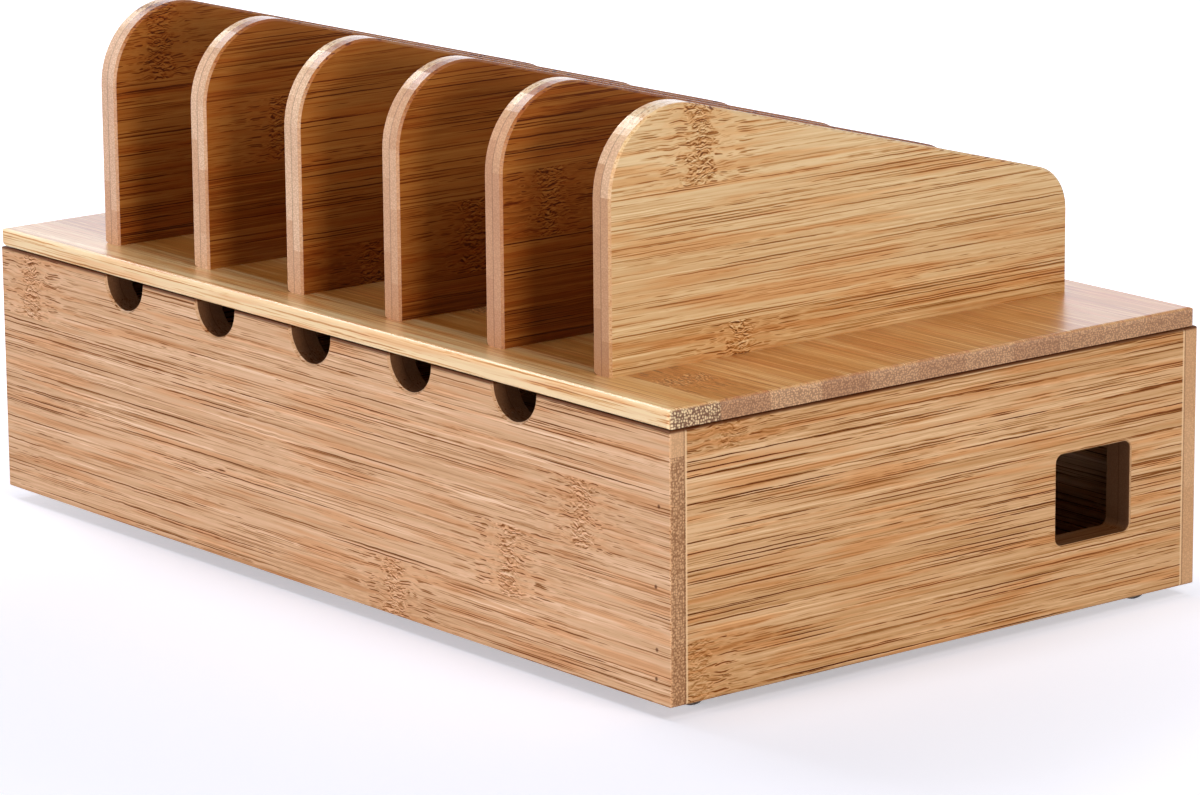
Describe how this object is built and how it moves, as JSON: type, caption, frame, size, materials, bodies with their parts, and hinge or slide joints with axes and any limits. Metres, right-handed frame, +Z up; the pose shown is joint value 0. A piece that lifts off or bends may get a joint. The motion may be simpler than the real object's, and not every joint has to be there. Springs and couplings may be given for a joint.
{
  "type": "charging station organizer",
  "caption": "Bamboo box for a power strip with cable notches, a power-cord hole and a lift-off lid that carries upright dividers for devices.",
  "frame": {"origin": "centre of the surface that the feet stand on, under the middle of the box", "axes": "+X along the length towards the side with the power-cord hole, +Y towards the rear, +Z up"},
  "size_m": [0.335, 0.203, 0.1638],
  "materials": {
    "wall_bamboo": "clear satin lacquer, grain level",
    "base_bamboo": "clear satin lacquer",
    "lid_bamboo": "clear satin lacquer, glued strips",
    "divider_bamboo": "clear satin lacquer, two plies",
    "cleat_bamboo": "clear satin lacquer",
    "screw_steel": "zinc plated",
    "foot_clear": "clear glossy elastomer"
  },
  "bodies": {
    "box": {"front_panel": "wall_bamboo", "rear_panel": "wall_bamboo", "left_side_panel": "wall_bamboo", "right_side_panel": "wall_bamboo", "base_panel": "base_bamboo", "foot_front_left": "foot_clear", "foot_front_right": "foot_clear", "foot_rear_left": "foot_clear", "foot_rear_right": "foot_clear"},
    "lid": {"lid_board": "lid_bamboo", "divider_1": "divider_bamboo", "divider_2": "divider_bamboo", "divider_3": "divider_bamboo", "divider_4": "divider_bamboo", "divider_5": "divider_bamboo", "divider_6": "divider_bamboo", "lid_cleat_left": "cleat_bamboo", "lid_cleat_right": "cleat_bamboo", "divider_screws": "screw_steel", "cleat_screws": "screw_steel"}
  },
  "joints": [
    {"name": "lid_lift", "type": "slide", "parent": "box", "child": "lid", "axis": [0, 0, 1], "range_m": [0, 0.1]}
  ]
}
